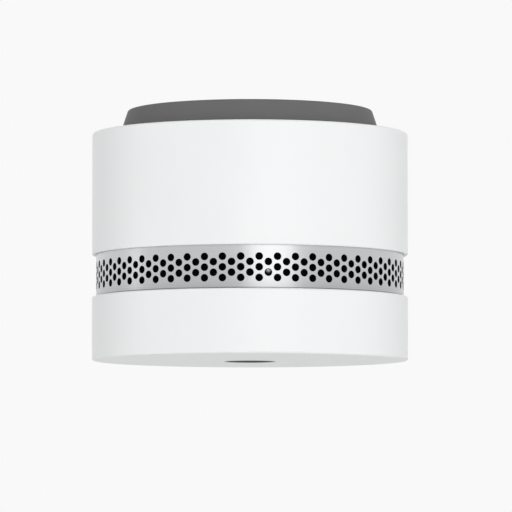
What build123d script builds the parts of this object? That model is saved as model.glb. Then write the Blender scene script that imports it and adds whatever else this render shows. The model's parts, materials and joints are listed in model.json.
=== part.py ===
"""Ceiling-mounted battery smoke detector: a compact white drum on a dark twist-lock plate.

Frame: millimetres, +Z up, origin at the centre of the ceiling face of the mounting plate.
The drum hangs below the plate, so almost everything has a negative Z. The front is -Y.
A bearing is an angle in degrees about Z, measured from the front towards +X.
"""

from build123d import *
from math import cos, hypot, pi, radians, sin
import os

# ---- driving dimensions ------------------------------------------------------------------
OUTER_R = 24.0  # radius of the white drum
WALL = 1.6
INNER_R = OUTER_R - WALL

PLATE_TOP_R = 18.58  # ceiling face of the mounting plate
PLATE_FOOT_R = 19.67  # lower edge of its tapered skirt
PLATE_H = 3.26
PLATE_DECK = 1.4

DECK_Z = -3.56  # top of the upper housing
HOUSING_END_Z = -22.0  # lower edge of the upper housing
CAP_START_Z = -28.4  # upper edge of the lower cap
CAP_FACE_Z = -38.0  # rim of the lower face
CROWN = 0.2  # how far the middle of the lower face stands below its rim

EDGE_R = 0.3  # rounding of the moulded outer edges
LIP_R = 23.4  # radius of the rebates that hold the band
LIP_DEPTH = 1.2
DECK_T = 1.6
FLOOR_T = 1.5

BAND_OUTER_R = 23.36
BAND_T = 0.2
BAND_MID_Z = -25.28  # middle row of holes
HOLE_R = 0.57
HOLE_COLUMNS = 54
HOLE_ROW_STEP = 0.786
HOLE_STEP_DEG = 360 / HOLE_COLUMNS
SEAM_W = 0.12

SCREEN_R = 22.9
SCREEN_T = 0.18

HOOK_BEARINGS = (30, 150, 270)
HOOK_HALF_DEG = 12
LUG_HALF_DEG = 14
SCREW_BEARINGS = (0, 180)
SCREW_R = 17.0
SLOT_X = 10.0
SLOT_W = 3.8
SLOT_L = 6.0

BATTERY_Z = -13.2
BATTERY_R = 7.8
BATTERY_END_X = (-12.3, 13.8)  # flat ends of the can
NUB_X = 14.7

TRAY_Z = (-22.1, -21.1)
TRAY_R = 22.2
PILLAR_BEARINGS = (60, 180, 300)
PILLAR_PITCH_R = 18.2
PILLAR_R = 2.0
FOOT_R = (16.6, 21.2)
FOOT_Z = (-31.4, -30.4)
FOOT_HALF_DEG = 7

BOARD_Z = (-23.3, -22.3)
BOARD_R = 20.7

CHAMBER_R = 13.0
CHAMBER_BASE_Z = (-24.3, -23.3)
CHAMBER_LID_Z = (-30.8, -30.0)
SENSOR_Z = -27.1
SENSOR_R = 1.5
SENSOR_REACH = (8.4, 12.2)
FLANGE_R = 1.9
EMITTER_BEARING = 130
RECEIVER_BEARING = 262
LEAD_R = 0.25

LED_BEARING = HOLE_STEP_DEG
LED_R = 18.3

SWITCH_BEARING = 240
SWITCH_R = 17.2
SWITCH_SIDE = 6.0
SWITCH_Z = (-26.9, -23.3)
PLUNGER_R = 1.7
PLUNGER_END_Z = -28.4
TRAVEL_GAP = 0.05

BUTTON_HOLE_R = 4.0
BUTTON_R = 3.85
BUTTON_FACE_Z = -38.15
BUTTON_FLANGE_Z = (-36.45, -35.65)

SOUNDER_R = 12.0
SOUNDER_Z = (-33.8, -31.4)
PIEZO_SEAT_Z = -32.2
PIEZO_T = 0.2
PIEZO_R = 10.5
CERAMIC_R = 7.0

CAP_FLOOR_Z = CAP_FACE_Z + FLOOR_T


# ---- helpers -----------------------------------------------------------------------------
def at(bearing, r=0.0, z=0.0):
    """A place at that bearing and radius. Its local -Y points outwards."""
    return Rot(0, 0, bearing) * Pos(0, -r, z)


def disc(r, z_low, z_high):
    """A cylinder on the Z axis between two heights."""
    return Pos(0, 0, z_low) * Cylinder(
        r, z_high - z_low, align=(Align.CENTER, Align.CENTER, Align.MIN)
    )


def tube(r_in, r_out, z_low, z_high):
    """A ring on the Z axis between two heights."""
    return disc(r_out, z_low, z_high) - disc(r_in, z_low - 1, z_high + 1)


def block(x, y, z):
    """A box given by its low and high limits along each axis."""
    return Pos((x[0] + x[1]) / 2, (y[0] + y[1]) / 2, (z[0] + z[1]) / 2) * Box(
        x[1] - x[0], y[1] - y[0], z[1] - z[0]
    )


def sector(r_in, r_out, z_low, z_high, bearing_from, bearing_to):
    """A piece of a ring between two bearings."""
    reach = r_out * 1.5
    steps = 4
    fan = [(0, 0)]
    for i in range(steps + 1):
        b = radians(bearing_from + (bearing_to - bearing_from) * i / steps)
        fan.append((reach * sin(b), -reach * cos(b)))
    wedge = extrude(Pos(0, 0, z_low) * make_face(Polyline(*fan, close=True)), z_high - z_low)
    return tube(r_in, r_out, z_low, z_high) & wedge


def turned(*points):
    """A solid of revolution about Z from its (radius, z) outline."""
    return revolve(make_face(Plane.XZ * Polyline(*points, close=True)), Axis.Z)


def radial_rod(r, r_from, r_to, bearing, z):
    """A round rod that points outwards at that bearing and height."""
    rod = Cylinder(r, r_to - r_from, align=(Align.CENTER, Align.CENTER, Align.MIN))
    return at(bearing, r_from, z) * Rot(90, 0, 0) * rod


def circle_edges(shape, r, z):
    """The round edges of that radius about Z at that height."""
    return [
        e
        for e in shape.edges().filter_by(GeomType.CIRCLE)
        if abs(e.radius - r) < 0.01 and abs(e.center().Z - z) < 0.01 and e.length > r
    ]


def coil(mean_r, wire_r, height, turns):
    """A round-wire coil that stands on Z = 0 and is as tall as that height, wire included."""
    rise = height - 2 * wire_r
    path = Helix(pitch=rise / turns, height=rise, radius=mean_r)
    section = Plane(origin=path @ 0, z_dir=path % 0) * Circle(wire_r)
    return Pos(0, 0, wire_r) * sweep(section, path=path)


def run(points, r):
    """A round wire along straight legs. Each point is (y, z) in the plane of that bearing."""
    wire = None
    for (y0, z0), (y1, z1) in zip(points, points[1:]):
        length = hypot(y1 - y0, z1 - z0)
        leg = Plane(origin=(0, y0, z0), z_dir=(0, y1 - y0, z1 - z0)) * Cylinder(
            r, length, align=(Align.CENTER, Align.CENTER, Align.MIN)
        )
        leg += Pos(0, y1, z1) * Sphere(r)
        wire = leg if wire is None else wire + leg
    return wire


# ---- mounting plate ----------------------------------------------------------------------
LUG_Z = (-3.2, -2.35)
LUG_R = (15.7, 18.6)
STOP_DEG = (12.3, 14.0)
POCKET_DEPTH = 0.5


def screw_slot(x):
    """A slot through the plate, long along X."""
    return Pos(x, 0, -3) * extrude(SlotOverall(SLOT_L, SLOT_W), 4)


def mounting_plate():
    """Tapered plate with two screw slots and three inward lugs, each with a stop."""
    shell = turned(
        (0, 0),
        (PLATE_TOP_R, 0),
        (PLATE_FOOT_R, -PLATE_H),
        (18.2, -PLATE_H),
        (17.9, -PLATE_DECK),
        (0, -PLATE_DECK),
    )
    shell = fillet(circle_edges(shell, PLATE_TOP_R, 0), 0.35)
    shell = fillet(circle_edges(shell, PLATE_FOOT_R, -PLATE_H), 0.2)
    for b in HOOK_BEARINGS:
        shell += sector(*LUG_R, *LUG_Z, b - LUG_HALF_DEG, b + LUG_HALF_DEG)
        shell += sector(*LUG_R, LUG_Z[1] - 0.2, -PLATE_DECK + 0.1, b + STOP_DEG[0], b + STOP_DEG[1])
    for b in (0, 180):
        shell -= sector(4.5, 16.2, -POCKET_DEPTH, 1, b - 52, b + 52)
    for x in (-SLOT_X, SLOT_X):
        shell -= screw_slot(x)
    return shell


# ---- upper housing -----------------------------------------------------------------------
HOOK_R = (14.7, 17.5)
HOOK_RISER_R = 15.5
HOOK_Z = (-2.28, -1.52)
BOSS_R = 2.5
BOSS_END_Z = -10.2
SCREW_HEAD_R = 1.9
SCREW_HEAD_H = 1.3
SCREW_SHANK_R = 1.1
DOOR_RECESS = ((-13.6, 15.8), (-8.7, 8.7))
DOOR_RECESS_DEPTH = 1.2
DOOR_OPENING = ((-12.8, 15.0), (-8.0, 8.0))


def upper_housing():
    """White shell, closed at the top, with the bayonet hooks, the battery opening and two bosses."""
    inner_top = DECK_Z - DECK_T
    ledge = HOUSING_END_Z + LIP_DEPTH
    shell = turned(
        (0, DECK_Z),
        (OUTER_R, DECK_Z),
        (OUTER_R, HOUSING_END_Z),
        (LIP_R, HOUSING_END_Z),
        (LIP_R, ledge),
        (INNER_R, ledge),
        (INNER_R, inner_top),
        (0, inner_top),
    )
    shell = fillet(circle_edges(shell, OUTER_R, DECK_Z), EDGE_R)
    shell = fillet(circle_edges(shell, OUTER_R, HOUSING_END_Z), EDGE_R - 0.1)
    for b in HOOK_BEARINGS:
        limits = (b - HOOK_HALF_DEG, b + HOOK_HALF_DEG)
        shell += sector(HOOK_R[0], HOOK_RISER_R, DECK_Z - 0.2, HOOK_Z[1], *limits)
        shell += sector(*HOOK_R, *HOOK_Z, *limits)
    for b in SCREW_BEARINGS:
        shell += at(b, SCREW_R) * disc(BOSS_R, BOSS_END_Z, inner_top + 0.2)
        shell -= at(b, SCREW_R) * disc(SCREW_HEAD_R + 0.15, DECK_Z - SCREW_HEAD_H - 0.15, DECK_Z + 1)
        shell -= at(b, SCREW_R) * disc(SCREW_SHANK_R + 0.1, BOSS_END_Z - 1, DECK_Z)
    recess_floor = DECK_Z - DOOR_RECESS_DEPTH
    shell -= block(*DOOR_RECESS, (recess_floor, DECK_Z + 0.5))
    shell -= block(*DOOR_OPENING, (inner_top - 1, DECK_Z))
    return shell


def battery_door():
    """Flush lid over the battery, with two tabs that hook under the deck and a thumb notch."""
    gap = 0.1
    (x0, x1), (y0, y1) = DOOR_RECESS
    top = DECK_Z - gap
    bottom = DECK_Z - DOOR_RECESS_DEPTH + gap
    lid = block((x0 + gap, x1 - gap), (y0 + gap, y1 - gap), (bottom, top))
    lid = fillet(lid.edges().filter_by(Axis.Z), 0.8)
    neck_x = DOOR_OPENING[0][0] + gap
    tab_z = (DECK_Z - DECK_T - 0.9, DECK_Z - DECK_T - 0.1)
    for y in (-5.5, 5.5):
        lid += block((neck_x, neck_x + 1.0), (y - 1.5, y + 1.5), (tab_z[0], bottom + 0.1))
        lid += block((neck_x - 1.4, neck_x + 0.5), (y - 1.5, y + 1.5), tab_z)
    lid -= Pos(x1 - 1.6, 0, top) * Sphere(1.6)
    return lid


def housing_screws():
    """Two pan-head screws that hold the upper housing to the chassis."""
    head_top = DECK_Z - 0.1
    head_low = DECK_Z - SCREW_HEAD_H
    screws = []
    for b in SCREW_BEARINGS:
        screw = disc(SCREW_HEAD_R, head_low, head_top)
        screw = fillet(circle_edges(screw, SCREW_HEAD_R, head_top), 0.5)
        screw += disc(SCREW_SHANK_R, head_low - 12, head_low + 0.1)
        for turn in (0, 90):
            screw -= Rot(0, 0, turn) * block((-1.2, 1.2), (-0.25, 0.25), (head_top - 0.8, head_top + 1))
        screws.append(at(b, SCREW_R) * screw)
    return Compound(children=screws)


# ---- perforated band and insect screen -----------------------------------------------------
BAND_Z = (CAP_START_Z - LIP_DEPTH + 0.05, HOUSING_END_Z + LIP_DEPTH - 0.05)
TIP_R = 0.53


def hole_places():
    """(bearing, height) of each hole: columns of three, with columns of two between them."""
    places = []
    for column in range(HOLE_COLUMNS):
        for row in (-1, 1):
            places.append((column * HOLE_STEP_DEG, BAND_MID_Z + row * HOLE_ROW_STEP))
        for row in (-2, 0, 2):
            places.append(((column + 0.5) * HOLE_STEP_DEG, BAND_MID_Z + row * HOLE_ROW_STEP))
    return places


def perforated_band():
    """Thin steel strip rolled into a ring, with its seam between two columns at the back."""
    band = tube(BAND_OUTER_R - BAND_T, BAND_OUTER_R, *BAND_Z)
    reach = (BAND_OUTER_R - BAND_T - 0.5, BAND_OUTER_R + 0.5)
    band -= [radial_rod(HOLE_R, *reach, b, z) for b, z in hole_places()]
    seam_bearing = 180 + HOLE_STEP_DEG / 4
    band -= at(seam_bearing, BAND_OUTER_R, (BAND_Z[0] + BAND_Z[1]) / 2) * Box(SEAM_W, 2, 20)
    return band


def insect_screen():
    """Fine black screen just inside the band, pierced once for the light pipe."""
    screen = tube(SCREEN_R - SCREEN_T, SCREEN_R, *BAND_Z)
    screen -= radial_rod(TIP_R + 0.1, 20, 24, LED_BEARING, BAND_MID_Z - HOLE_ROW_STEP)
    return screen


# ---- lower cap ---------------------------------------------------------------------------
ARM_HALF_DEG = 6
ARM_R = (21.35, 22.1)
BARB_R = 20.7
ARM_TOP_Z = -29.65


def lower_cap():
    """White cup with a slightly crowned face, the button hole and three snap arms."""
    ledge = CAP_START_Z - LIP_DEPTH
    rim = OUTER_R - EDGE_R
    bend = EDGE_R * (1 - cos(pi / 4))
    outline = Polyline(
        (0, CAP_FACE_Z - CROWN),
        (0, CAP_FLOOR_Z),
        (INNER_R, CAP_FLOOR_Z),
        (INNER_R, ledge),
        (LIP_R, ledge),
        (LIP_R, CAP_START_Z),
        (OUTER_R, CAP_START_Z),
        (OUTER_R, CAP_FACE_Z + EDGE_R),
    )
    corner = ThreePointArc(
        (OUTER_R, CAP_FACE_Z + EDGE_R), (OUTER_R - bend, CAP_FACE_Z + bend), (rim, CAP_FACE_Z)
    )
    crown = ThreePointArc(
        (rim, CAP_FACE_Z), (rim / 2, CAP_FACE_Z - 0.75 * CROWN), (0, CAP_FACE_Z - CROWN)
    )
    cup = revolve(make_face(Plane.XZ * Curve(children=[outline, corner, crown])), Axis.Z)
    cup = fillet(circle_edges(cup, OUTER_R, CAP_START_Z), EDGE_R - 0.05)
    for b in PILLAR_BEARINGS:
        limits = (b - ARM_HALF_DEG, b + ARM_HALF_DEG)
        cup += sector(*ARM_R, CAP_FLOOR_Z - 0.2, ARM_TOP_Z, *limits)
        cup += sector(BARB_R, ARM_R[0] + 0.1, FOOT_Z[1] + 0.05, ARM_TOP_Z, *limits)
    cup -= disc(BUTTON_HOLE_R, CAP_FACE_Z - 2, CAP_FLOOR_Z + 1)
    return cup


# ---- chassis -----------------------------------------------------------------------------
CRADLE_X = 11.5
CRADLE_Y = (8.1, 9.3)
CRADLE_TOP_Z = -14.2
RIB_TOP_Z = -17.2
SCREW_PILOT_Z = -17.8
POSITIVE_X = (14.8, 15.1)
NEGATIVE_X = (-16.0, -15.7)
CONTACT_Y = 3.5
CONTACT_TOP_Z = -9.2
TAIL_Y = 1.0
PIN_R = 0.6
PIN_END_Z = -32.7
CLIP_BEARINGS = (30, 155, 275)
CLIP_HALF_DEG = 4
CLIP_R = (20.85, 21.6)


def chassis():
    """Black inner frame: battery cradle above, pillars for the cap and the sounder below."""
    frame = disc(TRAY_R, *TRAY_Z)
    for side in (-1, 1):
        y = sorted((side * CRADLE_Y[0], side * CRADLE_Y[1]))
        frame += block((-CRADLE_X, CRADLE_X), y, (TRAY_Z[1] - 0.1, CRADLE_TOP_Z))
    for x in (-7, 7):
        rib = block((x - 0.6, x + 0.6), (-8.2, 8.2), (TRAY_Z[1] - 0.1, RIB_TOP_Z))
        frame += rib - Pos(x, 0, BATTERY_Z) * Rot(0, 90, 0) * Cylinder(BATTERY_R + 0.1, 3)
    for x in ((POSITIVE_X[1] + 0.05, POSITIVE_X[1] + 1.3), (NEGATIVE_X[0] - 1.3, NEGATIVE_X[0] - 0.05)):
        frame += block(x, (-5, 5), (TRAY_Z[1] - 0.1, CONTACT_TOP_Z - 0.5))
    for x in (POSITIVE_X, NEGATIVE_X):
        frame -= block((x[0] - 0.1, x[1] + 0.1), (-TAIL_Y - 0.1, TAIL_Y + 0.1), (-23, TRAY_Z[1] + 0.01))
    for b in SCREW_BEARINGS:
        frame += at(b, SCREW_R) * disc(BOSS_R, TRAY_Z[1] - 0.1, BOSS_END_Z - 0.05)
        frame -= at(b, SCREW_R) * disc(SCREW_SHANK_R + 0.05, SCREW_PILOT_Z, BOSS_END_Z + 1)
    for b in PILLAR_BEARINGS:
        limits = (b - FOOT_HALF_DEG, b + FOOT_HALF_DEG)
        frame += at(b, PILLAR_PITCH_R) * disc(PILLAR_R, FOOT_Z[0], TRAY_Z[0] + 0.1)
        frame += sector(*FOOT_R, *FOOT_Z, *limits)
        frame += at(b, PILLAR_PITCH_R) * disc(PIN_R, PIN_END_Z, FOOT_Z[0] + 0.1)
    for b in CLIP_BEARINGS:
        limits = (b - CLIP_HALF_DEG, b + CLIP_HALF_DEG)
        frame += sector(*CLIP_R, BOARD_Z[0] - 0.8, TRAY_Z[0] + 0.1, *limits)
        frame += sector(CLIP_R[0] - 0.6, CLIP_R[0] + 0.1, BOARD_Z[0] - 0.8, BOARD_Z[0] - 0.05, *limits)
        frame += sector(18.5, 20.2, BOARD_Z[1], TRAY_Z[0] + 0.1, *limits)
    return frame


# ---- battery and its contacts ------------------------------------------------------------
SLEEVE_T = 0.15


def rod_x(r, x_from, x_to):
    """A cylinder along X on the battery axis."""
    rod = Cylinder(r, x_to - x_from, align=(Align.CENTER, Align.CENTER, Align.MIN))
    return Pos(x_from, 0, BATTERY_Z) * Rot(0, 90, 0) * rod


def battery_cell():
    """Steel can of the photo lithium cell with its positive nub."""
    can_r = BATTERY_R - SLEEVE_T
    can = rod_x(can_r, *BATTERY_END_X)
    can = fillet(can.edges().filter_by(GeomType.CIRCLE), 0.4)
    can += rod_x(3.2, BATTERY_END_X[1] - 0.1, NUB_X)
    return can


def battery_sleeve():
    """Printed-film sleeve shrunk around the can, open at both ends."""
    x0, x1 = BATTERY_END_X
    return rod_x(BATTERY_R, x0 + 0.45, x1 - 0.45) - rod_x(BATTERY_R - SLEEVE_T, x0, x1)


def contact_strip(x):
    """Spring-steel strip that stands in the cradle, with a tail down to the board."""
    strip = block(x, (-CONTACT_Y, CONTACT_Y), (TRAY_Z[1], CONTACT_TOP_Z))
    strip = fillet(strip.edges().filter_by(Axis.X).group_by(Axis.Z)[-1], 1.5)
    return strip + block(x, (-TAIL_Y, TAIL_Y), (BOARD_Z[1], TRAY_Z[1] + 0.1))


def contact_positive():
    """Flat strip against the battery nub, with a round dimple."""
    strip = contact_strip(POSITIVE_X)
    return strip + rod_x(1.2, NUB_X, POSITIVE_X[0] + 0.1)


def contact_negative():
    """Strip with a short conical spring that presses on the flat end of the battery."""
    strip = contact_strip(NEGATIVE_X)
    reach = BATTERY_END_X[0] - NEGATIVE_X[1]
    spring = coil(2.4, 0.25, reach + 0.1, 2.5)
    return strip + Pos(NEGATIVE_X[1] - 0.1, 0, BATTERY_Z) * Rot(0, 90, 0) * spring


# ---- board and its components ------------------------------------------------------------
SOIC = (5.0, 4.0, 1.5)
CONTROLLER = (7.0, 5.2, 1.7)
CORE_R = 2.5
LEAD_RISE_R = 14.4


def board_clearances():
    """The notches around the pillars and the clips."""
    cuts = [sector(15.9, 22, -24, -21, b - 7.8, b + 7.8) for b in PILLAR_BEARINGS]
    cuts += [sector(20.2, 22, -24, -21, b - 5, b + 5) for b in CLIP_BEARINGS]
    return cuts


def main_board():
    """Round circuit board with notches for the pillars, held by three clips."""
    board = disc(BOARD_R, *BOARD_Z) - board_clearances()
    for b in (EMITTER_BEARING, RECEIVER_BEARING):
        for offset in (-2, 2):
            board -= at(b + offset * 2.5, LEAD_RISE_R) * disc(LEAD_R + 0.1, -24, -22)
    return board


def gull_wing_chip(body, pins_per_side, pitch):
    """Chip package under the board: body with leads along both long sides."""
    x, y, h = body
    chip = Pos(0, 0, -0.1 - h / 2) * Box(x, y, h)
    chip = chamfer(chip.edges().group_by(Axis.Z)[0], 0.2)
    for side in (-1, 1):
        for i in range(pins_per_side):
            px = (i - (pins_per_side - 1) / 2) * pitch
            lead_y = side * (y / 2 + 0.35)
            chip += Pos(px, side * (y / 2 + 0.15), -0.75) * Box(0.35, 0.5, 0.15)
            chip += Pos(px, lead_y, -0.41) * Box(0.35, 0.15, 0.82)
            chip += Pos(px, lead_y + side * 0.25, -0.075) * Box(0.35, 0.6, 0.15)
    return Pos(0, 0, BOARD_Z[0]) * chip


def controller_ic():
    """Microcontroller of the alarm."""
    return at(90, 17.0) * gull_wing_chip(CONTROLLER, 8, 0.8)


def driver_ic():
    """Sounder driver."""
    return at(210, 17.0) * gull_wing_chip(SOIC, 4, 1.1)


def boost_inductor():
    """Drum-core inductor that steps the battery voltage up for the sounder."""
    top = BOARD_Z[0]
    core = disc(CORE_R, top - 4.6, top - 3.8) + disc(CORE_R, top - 0.8, top)
    core += disc(CORE_R - 0.35, top - 4.2, top - 0.4)
    return at(146, 17.2) * core


def capacitors():
    """Two round surface-mount capacitors on square feet."""
    top = BOARD_Z[0]
    can = disc(2.0, top - 5.2, top - 0.6)
    can = fillet(circle_edges(can, 2.0, top - 5.2), 0.35)
    can += block((-2.15, 2.15), (-2.15, 2.15), (top - 0.9, top))
    return Compound(children=[at(b, 17.2) * can for b in (42, 283)])


def chip_parts():
    """Small resistors and capacitors under the board."""
    places = ((112, 16), (112, 18.5), (119, 17.2), (162, 16), (197, 19), (225, 15.5), (266, 18.4),
              (318, 16), (318, 18.6), (326, 17.3), (334, 16), (334, 18.6), (342, 17.3), (350, 16))
    size = (1.6, 0.8, 0.5)
    z = BOARD_Z[0] - size[2] / 2
    return Compound(children=[at(b, r, z) * Box(*size) for b, r in places])


def status_led():
    """Chip indicator under the board, above the foot of the light pipe."""
    base = Pos(0, 0, -0.2) * Box(2.0, 1.25, 0.4)
    dome = Pos(0, 0, -0.6) * Box(1.3, 1.1, 0.6)
    return at(LED_BEARING, LED_R, BOARD_Z[0]) * (base + dome)


def light_pipe():
    """Clear rod that carries the indicator light out to one hole of the band."""
    z = BAND_MID_Z - HOLE_ROW_STEP
    foot = Pos(0, 0, BOARD_Z[0] - 0.95) * Box(3.4, 2.6, 1.9)
    foot -= Pos(0, 0, BOARD_Z[0] - 0.5) * Box(2.3, 1.6, 1.2)
    pipe = at(LED_BEARING, LED_R) * foot
    tip_r = BAND_OUTER_R + 0.1 - TIP_R
    elbow = (-LED_R, z)
    pipe += at(LED_BEARING) * run([(elbow[0], BOARD_Z[0] - 1.5), elbow, (-tip_r, z)], TIP_R)
    return pipe


# ---- test switch -------------------------------------------------------------------------
def switch_body():
    """Square tactile switch on its back under the board, with four bent terminals."""
    z0, z1 = SWITCH_Z
    half = SWITCH_SIDE / 2
    body = block((-half, half), (-half, half), (z0, z1 - 0.15))
    body = fillet(body.edges().filter_by(Axis.Z), 0.4)
    for x in (-2.3, 2.3):
        for side in (-1, 1):
            y = sorted((side * (half - 0.2), side * (half + 1.0)))
            body += block((x - 0.35, x + 0.35), y, (z1 - 0.15, z1))
    body += block((-half + 0.5, half - 0.5), (-half + 0.5, half - 0.5), (z1 - 0.2, z1))
    body -= disc(PLUNGER_R + 0.06, z0 - 1, z0 + 1.6)
    return at(SWITCH_BEARING, SWITCH_R) * body


def switch_plunger():
    """Round plunger that the button rod pushes."""
    plunger = disc(PLUNGER_R, PLUNGER_END_Z, SWITCH_Z[0] + 1.0)
    plunger = fillet(circle_edges(plunger, PLUNGER_R, PLUNGER_END_Z), 0.2)
    return at(SWITCH_BEARING, SWITCH_R) * plunger


# ---- smoke chamber -----------------------------------------------------------------------
HOLDER = (5.0, 4.4)
VANES = 20
VANE_T = 0.6


def sensor_holder():
    """Block with a bore that points at the middle of the chamber."""
    r_mid = (SENSOR_REACH[0] + SENSOR_REACH[1]) / 2
    holder = Pos(0, -r_mid, (SENSOR_Z - 2.2 + CHAMBER_BASE_Z[0] + 0.1) / 2) * Box(
        HOLDER[0], HOLDER[1], CHAMBER_BASE_Z[0] + 0.1 - SENSOR_Z + 2.2
    )
    bore = Cylinder(SENSOR_R + 0.06, 20, align=(Align.CENTER, Align.CENTER, Align.MIN))
    return holder - Pos(0, 0, SENSOR_Z) * Rot(90, 0, 0) * bore


def chamber_base():
    """Upper plate of the smoke chamber with the two sensor holders."""
    base = disc(CHAMBER_R, *CHAMBER_BASE_Z)
    for b in (EMITTER_BEARING, RECEIVER_BEARING):
        base += at(b) * sensor_holder()
    return base


def chamber_cover():
    """Lower plate of the smoke chamber with bent vanes that keep light out."""
    cover = disc(CHAMBER_R, *CHAMBER_LID_Z)
    z = (CHAMBER_LID_Z[1] - 0.1, CHAMBER_BASE_Z[0] - 0.1)
    for i in range(VANES):
        b = i * 360 / VANES + 9
        if min(abs(b - EMITTER_BEARING), abs(b - RECEIVER_BEARING)) > 20:
            outer = block((-VANE_T / 2, VANE_T / 2), (-1.7, 1.7), z)
            inner = block((-VANE_T / 2, VANE_T / 2), (0, 2.6), z)
            vane = Rot(0, 0, 38) * outer + Pos(1.0, 1.3, 0) * Rot(0, 0, -25) * inner
            cover += at(b, 10.9) * vane
    return cover


def sensor(bearing):
    """Round sensor body with a dome towards the centre and two leads up to the board."""
    r_in, r_out = SENSOR_REACH
    body = radial_rod(SENSOR_R, r_in + SENSOR_R, r_out, bearing, SENSOR_Z)
    body += at(bearing, r_in + SENSOR_R, SENSOR_Z) * Sphere(SENSOR_R)
    body += radial_rod(SENSOR_R, r_out - 0.1, r_out + 0.4, bearing, SENSOR_Z)
    body += radial_rod(FLANGE_R, r_out + 0.35, r_out + 0.95, bearing, SENSOR_Z)
    for side in (-1, 1):
        x = side * 1.25
        path = [(-r_out - 0.8, SENSOR_Z), (-LEAD_RISE_R, SENSOR_Z), (-LEAD_RISE_R, BOARD_Z[0] + 0.6)]
        body += at(bearing) * Pos(x, 0, 0) * run(path, LEAD_R)
    return body


def ir_emitter():
    """Infrared emitter of the smoke chamber."""
    return sensor(EMITTER_BEARING)


def photodiode():
    """Receiver of the smoke chamber, turned away from the emitter beam."""
    return sensor(RECEIVER_BEARING)


# ---- sounder -----------------------------------------------------------------------------
SOUND_HOLE_R = 1.5
TAB_T = 0.8


def sounder_cup():
    """Shallow resonator cup with a central outlet and three tabs staked on the pillars."""
    z0, z1 = SOUNDER_Z
    cup = turned(
        (SOUND_HOLE_R, z0),
        (SOUNDER_R, z0),
        (SOUNDER_R, z1),
        (PIEZO_R + 0.1, z1),
        (PIEZO_R + 0.1, PIEZO_SEAT_Z),
        (PIEZO_R - 1.0, PIEZO_SEAT_Z),
        (PIEZO_R - 1.0, z0 + 0.8),
        (SOUND_HOLE_R, z0 + 0.8),
    )
    for b in PILLAR_BEARINGS:
        tab = block((-2.2, 2.2), (-PILLAR_PITCH_R - 1.9, -SOUNDER_R + 0.5), (z1 - TAB_T, z1))
        tab = fillet(tab.edges().filter_by(Axis.Z).group_by(Axis.Y)[0], 1.5)
        cup += Rot(0, 0, b) * tab
        cup -= at(b, PILLAR_PITCH_R) * disc(PIN_R + 0.05, z1 - 2, z1 + 1)
    return cup


def piezo_plate():
    """Brass disc of the sounder."""
    return disc(PIEZO_R, PIEZO_SEAT_Z, PIEZO_SEAT_Z + PIEZO_T)


def piezo_ceramic():
    """Ceramic disc bonded on the brass."""
    return disc(CERAMIC_R, PIEZO_SEAT_Z + PIEZO_T, PIEZO_SEAT_Z + 2 * PIEZO_T)


def piezo_ring():
    """Ring that clamps the brass disc at its edge."""
    return tube(PIEZO_R - 1.2, PIEZO_R, PIEZO_SEAT_Z + PIEZO_T, SOUNDER_Z[1])


def piezo_leads():
    """Two wires from the sounder discs up to the board."""
    z_run = -31.1
    rise_r = 14.6
    leads = []
    for b, r, z in ((20, 4.0, PIEZO_SEAT_Z + 2 * PIEZO_T), (27, 8.2, PIEZO_SEAT_Z + PIEZO_T)):
        path = [(-r, z + LEAD_R), (-r, z_run), (-rise_r, z_run), (-rise_r, BOARD_Z[0] - LEAD_R)]
        leads.append(at(b) * run(path, LEAD_R))
    return Compound(children=leads)


# ---- test button -------------------------------------------------------------------------
BUTTON_FLANGE_R = 5.2
BUTTON_DISH = 0.05
BAR_W = 3.0
BAR_Z = (-36.3, -35.3)
ROD_R = 1.5
SPRING_MEAN_R = 2.3
SPRING_WIRE_R = 0.15


def test_button():
    """Dark button in the cap, with a bar and a rod that reach the switch."""
    button = disc(BUTTON_R, BUTTON_FACE_Z, BUTTON_FLANGE_Z[0] + 0.1)
    button = fillet(circle_edges(button, BUTTON_R, BUTTON_FACE_Z), 0.2)
    dish_r = ((BUTTON_R - 0.4) ** 2 + BUTTON_DISH**2) / (2 * BUTTON_DISH)
    button -= Pos(0, 0, BUTTON_FACE_Z + BUTTON_DISH - dish_r) * Sphere(dish_r)
    button += disc(BUTTON_FLANGE_R, *BUTTON_FLANGE_Z)
    bar = block((-BAR_W / 2, BAR_W / 2), (-SWITCH_R, -SPRING_MEAN_R - 1), BAR_Z)
    bar += Pos(0, -SWITCH_R, 0) * disc(ROD_R, BAR_Z[0], PLUNGER_END_Z - TRAVEL_GAP)
    button += Rot(0, 0, SWITCH_BEARING) * bar
    return button


def button_spring():
    """Light coil that returns the button, between its flange and the sounder cup."""
    z0 = BUTTON_FLANGE_Z[1]
    height = SOUNDER_Z[0] - z0
    return Pos(0, 0, z0) * coil(SPRING_MEAN_R, SPRING_WIRE_R, height, 2.5)


# ---- output ------------------------------------------------------------------------------
SUB_PARTS = (
    mounting_plate,
    upper_housing,
    battery_door,
    housing_screws,
    perforated_band,
    insect_screen,
    lower_cap,
    chassis,
    battery_cell,
    battery_sleeve,
    contact_positive,
    contact_negative,
    main_board,
    controller_ic,
    driver_ic,
    boost_inductor,
    capacitors,
    chip_parts,
    status_led,
    light_pipe,
    switch_body,
    switch_plunger,
    chamber_base,
    chamber_cover,
    ir_emitter,
    photodiode,
    sounder_cup,
    piezo_plate,
    piezo_ceramic,
    piezo_ring,
    piezo_leads,
    test_button,
    button_spring,
)

os.makedirs("parts", exist_ok=True)
for build in SUB_PARTS:
    export_step(build(), f"parts/{build.__name__}.step")
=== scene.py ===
"""Looks of the ceiling smoke detector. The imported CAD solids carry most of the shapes; this script
gives each one its material, weaves the insect screen and winds the return coil."""

import json
import math

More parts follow.
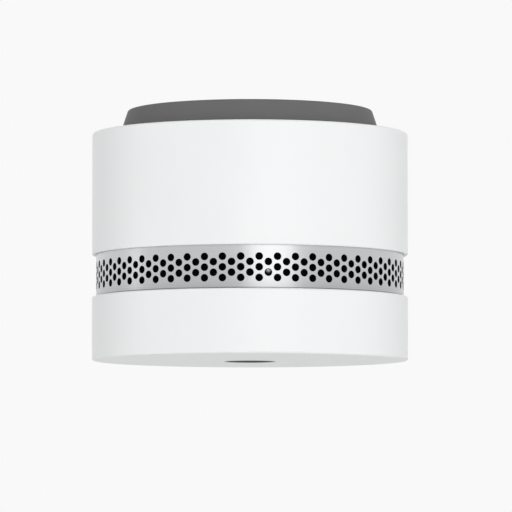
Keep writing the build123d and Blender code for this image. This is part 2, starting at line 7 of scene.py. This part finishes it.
import bpy
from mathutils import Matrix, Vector


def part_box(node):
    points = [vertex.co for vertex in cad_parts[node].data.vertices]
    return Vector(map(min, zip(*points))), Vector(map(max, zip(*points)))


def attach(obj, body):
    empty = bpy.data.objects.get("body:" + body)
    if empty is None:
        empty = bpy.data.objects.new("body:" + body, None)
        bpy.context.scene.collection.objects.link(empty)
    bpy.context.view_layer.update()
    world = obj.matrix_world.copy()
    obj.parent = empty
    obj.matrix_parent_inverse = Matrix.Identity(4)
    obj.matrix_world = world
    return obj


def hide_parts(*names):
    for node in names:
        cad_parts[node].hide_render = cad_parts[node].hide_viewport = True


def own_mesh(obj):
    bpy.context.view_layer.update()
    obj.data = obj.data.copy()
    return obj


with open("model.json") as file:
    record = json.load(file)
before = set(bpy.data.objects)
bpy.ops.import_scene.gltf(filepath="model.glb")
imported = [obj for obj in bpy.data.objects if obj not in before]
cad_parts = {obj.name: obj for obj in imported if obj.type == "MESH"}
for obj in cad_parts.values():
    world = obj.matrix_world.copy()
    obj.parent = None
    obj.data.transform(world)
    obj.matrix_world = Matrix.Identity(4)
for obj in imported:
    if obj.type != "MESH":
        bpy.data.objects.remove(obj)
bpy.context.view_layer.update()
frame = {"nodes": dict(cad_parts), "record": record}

MM = 0.001
CAP_TOP_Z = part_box("lower_cap")[1].z
PIPE_DROP = -0.866 * MM  # the light pipe sits this far below the middle of the band
PIPE_BEARING = 360 / 54  # degrees round from the front
scene = bpy.context.scene
scene.view_settings.view_transform = "Standard"
scene.view_settings.look = "None"


# ---- node helpers --------------------------------------------------------------------------
class Shader:
    """A material under construction, with short calls for the nodes used here."""

    def __init__(self, name):
        self.material = bpy.data.materials.new(name)
        self.material.use_nodes = True
        self.tree = self.material.node_tree
        self.surface = self.tree.nodes["Principled BSDF"]

    def node(self, kind, **settings):
        made = self.tree.nodes.new(kind)
        for key, value in settings.items():
            setattr(made, key, value)
        return made

    def link(self, out, into):
        self.tree.links.new(out, into)

    def fixed(self, **values):
        """Sets constant values on the shader's own sockets."""
        for key, value in values.items():
            self.surface.inputs[key.replace("_", " ")].default_value = value

    def colour(self, out):
        self.link(out, self.surface.inputs["Base Color"])

    def roughness(self, out):
        self.link(out, self.surface.inputs["Roughness"])

    def coords(self):
        return self.node("ShaderNodeTexCoord").outputs["Object"]

    def axes(self):
        """The object coordinates as separate X, Y and Z outputs."""
        xyz = self.node("ShaderNodeSeparateXYZ")
        self.link(self.coords(), xyz.inputs["Vector"])
        return xyz.outputs

    def noise(self, scale, detail=2.0, vector=None, roughness=0.5):
        texture = self.node("ShaderNodeTexNoise")
        texture.inputs["Scale"].default_value = scale
        texture.inputs["Detail"].default_value = detail
        texture.inputs["Roughness"].default_value = roughness
        self.link(vector or self.coords(), texture.inputs["Vector"])
        return texture.outputs["Fac"]

    def ramp(self, factor, stops):
        """Colours a 0..1 factor by (place, colour) stops."""
        node = self.node("ShaderNodeValToRGB")
        elements = node.color_ramp.elements
        while len(elements) < len(stops):
            elements.new(0.5)
        for element, (place, colour) in zip(elements, stops):
            element.position = place
            element.color = (*colour, 1)
        self.link(factor, node.inputs["Fac"])
        return node.outputs["Color"]

    def spread(self, factor, low, high):
        """Maps a 0..1 factor to low..high."""
        node = self.node("ShaderNodeMapRange")
        node.inputs["To Min"].default_value = low
        node.inputs["To Max"].default_value = high
        self.link(factor, node.inputs["Value"])
        return node.outputs["Result"]

    def share(self, value, start, end):
        """Maps a value from start..end to 0..1."""
        node = self.node("ShaderNodeMapRange")
        node.inputs["From Min"].default_value = start
        node.inputs["From Max"].default_value = end
        self.link(value, node.inputs["Value"])
        return node.outputs["Result"]

    def math(self, operation, a, b):
        node = self.node("ShaderNodeMath", operation=operation)
        for socket, value in zip(node.inputs, (a, b)):
            if isinstance(value, (int, float)):
                socket.default_value = value
            else:
                self.link(value, socket)
        return node.outputs["Value"]

    def multiply(self, colour_a, colour_b):
        """Multiplies two colours. The colour sockets of this node share their names with others."""
        node = self.node("ShaderNodeMix", data_type="RGBA", blend_type="MULTIPLY")
        factor, first, second = (node.inputs[i] for i in (0, 6, 7))
        factor.default_value = 1.0
        self.link(colour_a, first)
        self.link(colour_b, second)
        return node.outputs[2]

    def bump(self, height, strength, distance):
        node = self.node("ShaderNodeBump")
        node.inputs["Strength"].default_value = strength
        node.inputs["Distance"].default_value = distance
        self.link(height, node.inputs["Height"])
        self.link(node.outputs["Normal"], self.surface.inputs["Normal"])

    def around(self, per_turn, per_metre):
        """Coordinates that run round the Z axis and along it, for marks that follow the turning."""
        axes = self.axes()
        angle = self.math("ARCTAN2", axes["Y"], axes["X"])
        joined = self.node("ShaderNodeCombineXYZ")
        self.link(self.math("MULTIPLY", angle, per_turn / (2 * math.pi)), joined.inputs["X"])
        self.link(self.math("MULTIPLY", axes["Z"], per_metre), joined.inputs["Y"])
        return joined.outputs["Vector"]


def grey(value):
    return (value, value, value)


def dimmed(base, factor):
    return tuple(channel * factor for channel in base)


# ---- materials -----------------------------------------------------------------------------
def moulded(name, base, roughness, grain, depth, tone=0.03, ior=1.49):
    """Injection-moulded plastic: a faint cloudiness, fine spark-eroded grain and uneven sheen."""
    s = Shader(name)
    s.colour(s.ramp(s.noise(90.0, 3.0), ((0.3, dimmed(base, 1 - tone)), (0.7, base))))
    s.roughness(s.spread(s.noise(900.0), roughness - 0.04, roughness + 0.05))
    s.bump(s.noise(grain, 3.0), depth, 0.03 * MM)
    s.fixed(IOR=ior)
    return s.material


def plated(name, base, roughness):
    """Plated or turned metal with fine scratches."""
    s = Shader(name)
    scratches = s.noise(5000.0, 4.0, None, 0.65)
    s.colour(s.ramp(scratches, ((0.3, dimmed(base, 0.85)), (0.7, base))))
    s.roughness(s.spread(scratches, roughness - 0.06, roughness + 0.1))
    s.bump(scratches, 0.1, 0.01 * MM)
    s.fixed(Metallic=1.0)
    return s.material


def brushed_band():
    """Satin stainless strip with fine drawn lines round the ring, and painted shade that darkens its
    lower edge just above the cap.
    """
    s = Shader("band_steel")
    lines = s.noise(1.0, 4.0, s.around(14.0, 22000.0), 0.6)
    metal = s.ramp(lines, ((0.25, (0.535, 0.547, 0.558)), (0.75, (0.605, 0.618, 0.630))))
    # Painted shade: a dark line on the steel just above the cap, then a milder darkening that fades
    # out 4 mm up the band.
    above_cap = s.share(s.axes()["Z"], CAP_TOP_Z, CAP_TOP_Z + 4 * MM)
    painted_shade = s.ramp(above_cap, ((0.0, grey(0.3)), (0.03, grey(0.35)), (0.05, grey(0.80)),
                              (0.3, grey(0.90)), (0.9, grey(1.0))))
    s.colour(s.multiply(metal, painted_shade))
    patches = s.spread(s.noise(160.0, 2.0), 0.0, 0.04)
    s.roughness(s.math("ADD", s.spread(lines, 0.22, 0.30), patches))
    s.bump(lines, 0.06, 0.01 * MM)
    s.fixed(Metallic=1.0)
    return s.material


def solder_mask():
    """Green laminate: glossy mask over a faint glass weave and copper tracks."""
    s = Shader("board_laminate")
    tracks = s.node("ShaderNodeTexVoronoi", feature="DISTANCE_TO_EDGE")
    tracks.inputs["Scale"].default_value = 420.0
    s.link(s.coords(), tracks.inputs["Vector"])
    track_green, mask_green = (0.035, 0.17, 0.06), (0.012, 0.08, 0.03)
    s.colour(s.ramp(tracks.outputs["Distance"], ((0.02, track_green), (0.06, mask_green))))
    weave = s.noise(3500.0, 1.0)
    s.roughness(s.spread(weave, 0.22, 0.36))
    s.bump(weave, 0.08, 0.02 * MM)
    return s.material


def soot_black():
    """Dead-matt black coating of the screen, a little uneven."""
    s = Shader("screen_black")
    cloud = s.noise(4000.0, 3.0)
    s.colour(s.ramp(cloud, ((0.3, grey(0.001)), (0.7, grey(0.003)))))
    s.roughness(s.spread(cloud, 0.85, 0.95))
    s.bump(cloud, 0.3, 0.02 * MM)
    s.fixed(Specular_IOR_Level=0.03)
    return s.material


def soft_touch():
    """Rubbery dark coating of the button, with almost no shine."""
    s = Shader("button_plastic")
    cloud = s.noise(700.0, 3.0)
    s.colour(s.ramp(cloud, ((0.3, grey(0.0495)), (0.7, grey(0.055)))))
    s.roughness(s.spread(cloud, 0.72, 0.82))
    s.bump(s.noise(6000.0, 3.0), 0.25, 0.03 * MM)
    s.fixed(Specular_IOR_Level=0.15)
    return s.material


def smoky_pipe():
    """Smoky acrylic of the light pipe, with a painted highlight: a pale round patch high in its tip,
    dark round it.
    """
    s = Shader("pipe_clear")
    lo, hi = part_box("perforated_band")
    bearing = math.radians(PIPE_BEARING)
    # Painted highlight: a pale grey spot centred high in the tip, fading to near black 0.7 mm from
    # its centre.
    highlight_z = (lo.z + hi.z) / 2 + PIPE_DROP + 0.42 * MM
    away = s.node("ShaderNodeVectorMath", operation="DISTANCE")
    away.inputs[1].default_value = (hi.x * math.sin(bearing), -hi.x * math.cos(bearing), highlight_z)
    s.link(s.coords(), away.inputs[0])
    from_highlight = s.share(away.outputs["Value"], 0.0, 0.7 * MM)
    s.colour(s.ramp(from_highlight, ((0.15, grey(0.58)), (0.40, grey(0.26)), (0.62, grey(0.09)),
                               (0.76, grey(0.004)))))
    s.roughness(s.spread(s.noise(2600.0), 0.04, 0.08))
    s.fixed(IOR=1.5, Specular_IOR_Level=0.08)
    return s.material


def battery_film():
    """Shrunk film of the battery: dark blue with a lighter band towards the positive end."""
    s = Shader("sleeve_film")
    along = s.math("ADD", s.math("MULTIPLY", s.axes()["X"], 35.0), 0.5)
    s.colour(s.ramp(along, ((0.80, (0.02, 0.035, 0.10)), (0.81, (0.62, 0.62, 0.60)))))
    s.roughness(s.spread(s.noise(800.0), 0.15, 0.25))
    s.bump(s.noise(500.0), 0.05, 0.03 * MM)
    return s.material


# Base colour, roughness, scale and depth of the grain, then cloudiness and refractive index.
PLASTICS = {
    "shell_plastic": ((0.815, 0.824, 0.829), 0.40, 7000.0, 0.05, 0.012),
    "plate_plastic": (grey(0.147), 0.6, 5200.0, 0.35, 0.06, 1.18),
    "inner_plastic": (grey(0.006), 0.75, 3500.0, 0.3, 0.2),
    "chip_plastic": (grey(0.02), 0.5, 5000.0, 0.2, 0.1),
    "led_body": ((0.8, 0.79, 0.74), 0.35, 4000.0, 0.1),
    "sensor_plastic": ((0.02, 0.012, 0.025), 0.15, 2000.0, 0.03, 0.2),
    "lead_cover": ((0.42, 0.02, 0.015), 0.45, 4000.0, 0.1, 0.1),
}
# Base colour and roughness.
METALS = {
    "screw_steel": ((0.60, 0.60, 0.59), 0.3),
    "contact_metal": ((0.66, 0.65, 0.62), 0.28),
    "capacitor_can": ((0.78, 0.78, 0.78), 0.32),
    "piezo_brass": ((0.78, 0.58, 0.28), 0.3),
}

MATERIALS = {name: moulded(name, *look) for name, look in PLASTICS.items()}
MATERIALS.update({name: plated(name, *look) for name, look in METALS.items()})
MATERIALS.update(
    band_steel=brushed_band(),
    board_laminate=solder_mask(),
    button_plastic=soft_touch(),
    pipe_clear=smoky_pipe(),
    screen_black=soot_black(),
    sleeve_film=battery_film(),
)

for entry in frame["record"]["subparts"]:
    mesh = frame["nodes"][entry["node"]].data
    mesh.materials.clear()
    mesh.materials.append(MATERIALS[entry["material_slot"]])


# ---- pieces made here ----------------------------------------------------------------------
def piece(name, verts, faces, material_slot):
    """A smooth mesh object with one of the record's materials."""
    mesh = bpy.data.meshes.new(name)
    mesh.from_pydata(verts, [], faces)
    mesh.update()
    mesh.polygons.foreach_set("use_smooth", [True] * len(mesh.polygons))
    mesh.materials.append(MATERIALS[material_slot])
    made = bpy.data.objects.new(name, mesh)
    scene.collection.objects.link(made)
    return made


def add_wire(verts, faces, path, radius, sides, closed):
    """Adds a round wire along a path to the lists of a mesh."""
    start = len(verts)
    count = len(path)
    for i, point in enumerate(path):
        before = path[i - 1] if closed or i else point
        after = path[(i + 1) % count] if closed or i < count - 1 else point
        along = (Vector(after) - Vector(before)).normalized()
        upright = abs(along.z) > 0.7
        side = along.orthogonal() if upright else along.cross(Vector((0, 0, 1)))
        side.normalize()
        up = side.cross(along)
        for k in range(sides):
            turn = 2 * math.pi * k / sides
            verts.append(Vector(point) + radius * (math.cos(turn) * side + math.sin(turn) * up))
    for i in range(count if closed else count - 1):
        ring, following = start + i * sides, start + ((i + 1) % count) * sides
        for k in range(sides):
            q = (k + 1) % sides
            faces.append((ring + k, ring + q, following + q, following + k))
    if not closed:
        faces.append(tuple(start + k for k in reversed(range(sides))))
        faces.append(tuple(start + (count - 1) * sides + k for k in range(sides)))


def woven_screen():
    """Plain-weave wire cloth over the black screen ring, just inside the band."""
    lo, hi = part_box("insect_screen")
    ring_r = hi.x + 0.11 * MM
    wire_r = 0.05 * MM
    wire_sides = 4
    columns = 300
    rows = 18
    swing = 0.05 * MM
    pitch = (hi.z - lo.z - 2 * wire_r) / (rows - 1)
    first_z = lo.z + wire_r
    verts, faces = [], []
    for row in range(rows):
        path = []
        for i in range(columns * 2):
            angle = math.pi * i / columns
            r = ring_r + swing * math.cos(math.pi * (i / 2 + row))
            path.append((r * math.cos(angle), r * math.sin(angle), first_z + row * pitch))
        add_wire(verts, faces, path, wire_r, wire_sides, True)
    for column in range(columns):
        angle = 2 * math.pi * column / columns
        path = []
        for i in range(rows * 2 - 1):
            r = ring_r - swing * math.cos(math.pi * (i / 2 + column))
            path.append((r * math.cos(angle), r * math.sin(angle), first_z + i * pitch / 2))
        add_wire(verts, faces, path, wire_r, wire_sides, False)
    made = piece("woven_screen", verts, faces, "screen_black")
    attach(made, "alarm")


def return_coil():
    """Compression coil with closed end turns, under the sounder."""
    lo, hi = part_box("button_spring")
    wire_r = 0.15 * MM
    wire_sides = 12
    mean_r = (hi.x - lo.x) / 2 - wire_r
    turns, steps_per_turn = 3.6, 48
    steps = int(turns * steps_per_turn)
    rise = hi.z - lo.z - 2 * wire_r
    path = []
    for i in range(steps + 1):
        share = i / steps
        lift = share * share * (3 - 2 * share)
        angle = 2 * math.pi * i / steps_per_turn
        z = lo.z + wire_r + rise * lift
        path.append((mean_r * math.cos(angle), mean_r * math.sin(angle), z))
    verts, faces = [], []
    add_wire(verts, faces, path, wire_r, wire_sides, False)
    made = piece("return_coil", verts, faces, "contact_metal")
    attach(made, "alarm")
    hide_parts("button_spring")
    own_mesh(made)


woven_screen()
return_coil()


# ---- stage, light and camera ---------------------------------------------------------------
FLOOR_HALF, FLOOR_Z = 6.0, -0.55
LIGHT_TARGET = Vector((0, 0, -0.02))
# Name, azimuth and elevation in degrees, distance, size, power, and whether gloss shows it.
LIGHTS = (
    ("key", 16, 4, 0.9, (0.54, 0.9), 1.3, True),
    ("left_strip", -94, 0, 0.9, (0.16, 0.9), 0.2, True),
    ("front_fill", 10, 8, 1.2, (1.2, 1.2), 9.6, False),
    ("left_fill", -90, 5, 1.2, (0.8, 1.2), 5.5, False),
    ("right_fill", 95, 5, 1.2, (0.8, 1.2), 3.4, False),
    ("back_fill", 180, 20, 1.2, (1.2, 1.0), 11.0, False),
    ("top_fill", 20, 75, 1.2, (1.2, 1.2), 6.0, False),
)
BACKDROP = 0.947
CAMERA_AT = Vector((0.0, -0.6980, -0.07007))
CAMERA_AIM = Vector((0.00092, 0.0, -0.0221))
LENS, SENSOR = 323.54, 36.0


def stage_floor():
    """Pale matt floor well below the detector, lit evenly from within like a light table."""
    corners = [(x * FLOOR_HALF, y * FLOOR_HALF, FLOOR_Z)
               for x, y in ((-1, -1), (1, -1), (1, 1), (-1, 1))]
    mesh = bpy.data.meshes.new("floor")
    mesh.from_pydata(corners, [], [(0, 1, 2, 3)])
    s = Shader("floor_paint")
    s.colour(s.ramp(s.noise(6.0), ((0.3, grey(0.13)), (0.7, grey(0.15)))))
    s.fixed(Roughness=0.9, Emission_Color=(1, 1, 1, 1), Emission_Strength=0.6)
    mesh.materials.append(s.material)
    floor = bpy.data.objects.new("floor", mesh)
    scene.collection.objects.link(floor)


def area_light(name, azimuth, elevation, distance, size, power, in_gloss):
    """A soft box that points at the detector. Azimuth 0 is in front, 90 towards +X."""
    light = bpy.data.lights.new(name, "AREA")
    light.shape = "RECTANGLE"
    light.size, light.size_y = size
    light.energy = power
    lamp = bpy.data.objects.new(name, light)
    a, e = math.radians(azimuth), math.radians(elevation)
    away = Vector((math.sin(a) * math.cos(e), -math.cos(a) * math.cos(e), math.sin(e)))
    lamp.location = LIGHT_TARGET + away * distance
    lamp.rotation_euler = away.to_track_quat("Z", "Y").to_euler()
    lamp.visible_camera = False
    lamp.visible_glossy = in_gloss
    scene.collection.objects.link(lamp)


def studio_world():
    """Even pale surroundings that the background and the gloss show, but that give no fill light."""
    world = bpy.data.worlds.new("studio")
    scene.world = world
    world.use_nodes = True
    background = world.node_tree.nodes["Background"]
    background.inputs["Color"].default_value = (*grey(BACKDROP), 1)
    world.cycles_visibility.diffuse = False


def main_camera():
    """The camera stands in front, a little below the detector, and looks slightly up."""
    data = bpy.data.cameras.new("camera")
    data.lens = LENS
    data.sensor_width = SENSOR
    data.clip_start = 0.05
    camera = bpy.data.objects.new("camera", data)
    camera.location = CAMERA_AT
    camera.rotation_euler = (CAMERA_AIM - CAMERA_AT).to_track_quat("-Z", "Y").to_euler()
    scene.collection.objects.link(camera)
    scene.camera = camera


stage_floor()
for settings in LIGHTS:
    area_light(*settings)
studio_world()
main_camera()
